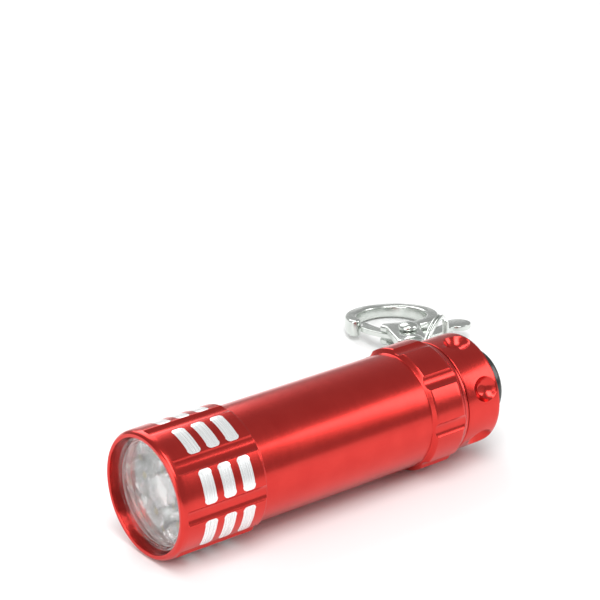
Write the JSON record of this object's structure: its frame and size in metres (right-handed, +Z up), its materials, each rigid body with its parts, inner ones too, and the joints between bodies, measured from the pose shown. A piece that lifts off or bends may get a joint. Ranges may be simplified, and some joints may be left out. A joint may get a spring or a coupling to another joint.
{
  "type": "keychain flashlight",
  "caption": "Small round aluminium flashlight with a fluted head and a push-button tail cap, carried by a split ring, a swivel eye and a lobster clasp.",
  "frame": {"origin": "centre of the lens's outer face, on the flashlight's axis", "axes": "+X along the axis from the lens towards the tail button, +Z up with the flashlight lying on its side"},
  "size_m": [0.101, 0.0657, 0.022],
  "materials": {
    "anodised_red": "satin-gloss red anodising with bare aluminium bars",
    "chrome": "bright nickel or chrome plating",
    "clear_lens": "clear moulded acrylic",
    "reflector_silver": "vacuum-metallised plastic",
    "led_clear": "clear epoxy",
    "board": "solder-masked board",
    "seal_rubber": "moulded rubber",
    "button_rubber": "satin black rubber",
    "black_plastic": "moulded plastic",
    "spring_steel": "plated spring wire",
    "cell_steel": "stamped steel can",
    "brass": "turned brass"
  },
  "bodies": {
    "root": {"body_tube": "anodised_red", "lens": "clear_lens", "lens_seal": "seal_rubber", "reflector": "reflector_silver", "led_1": "led_clear", "led_2": "led_clear", "led_3": "led_clear", "led_4": "led_clear", "led_5": "led_clear", "led_6": "led_clear", "led_board": "board", "front_spring": "spring_steel", "battery_sleeve": "black_plastic", "cell_1": "cell_steel", "cell_2": "cell_steel", "cell_3": "cell_steel", "cell_4": "cell_steel"},
    "cap_travel": {"cap_o_ring": "seal_rubber"},
    "tail_cap": {"tail_cap": "anodised_red", "retaining_ring": "brass", "switch_housing": "black_plastic", "switch_spring": "spring_steel", "tail_spring": "spring_steel"},
    "button": {"push_button": "button_rubber", "switch_plunger": "brass"},
    "key_ring": {"key_ring": "chrome"},
    "swivel_eye": {"swivel_eye": "chrome"},
    "clasp": {"clasp_body": "chrome", "swivel_rivet": "chrome", "gate_pin": "chrome", "gate_spring": "spring_steel"},
    "gate": {"gate": "chrome"}
  },
  "joints": [
    {"name": "cap_travel", "type": "slide", "parent": "root", "child": "cap_travel", "axis": [1, 0, 0], "range_m": [0, 0.005]},
    {"name": "cap_turn", "type": "hinge", "parent": "cap_travel", "child": "tail_cap", "pos_m": [0, 0, 0], "axis": [1, 0, 0], "range_deg": [0, 1801]},
    {"name": "button_press", "type": "slide", "parent": "tail_cap", "child": "button", "axis": [-1, 0, 0], "range_m": [0, 0.0015], "stiffness_N_per_m": 1500, "springref_m": -0.0005},
    {"name": "ring_swing", "type": "hinge", "parent": "tail_cap", "child": "key_ring", "pos_m": [0.0638, 0.00818, 0.00108], "axis": [0, -0.1305, 0.9914], "range_deg": [0, 60]},
    {"name": "eye_swing", "type": "hinge", "parent": "key_ring", "child": "swivel_eye", "pos_m": [0.07188, 0.01365, -0.0047], "axis": [0.7972, 0.4053, 0.4475], "range_deg": [-45, 45]},
    {"name": "clasp_spin", "type": "hinge", "parent": "swivel_eye", "child": "clasp", "pos_m": [0.07188, 0.01365, -0.0047], "axis": [0.4636, 0.8792, -0.1097], "continuous": true},
    {"name": "gate_open", "type": "hinge", "parent": "clasp", "child": "gate", "pos_m": [0.08317, 0.03399, -0.00727], "axis": [0.0512, 0.0971, 0.994], "range_deg": [-25, 0], "stiffness_Nm_per_rad": 0.02, "springref_deg": 11.46}
  ],
  "couplings": [
    {"joint": "cap_turn", "follows": "cap_travel", "rad_per_m": 6283.2}
  ]
}
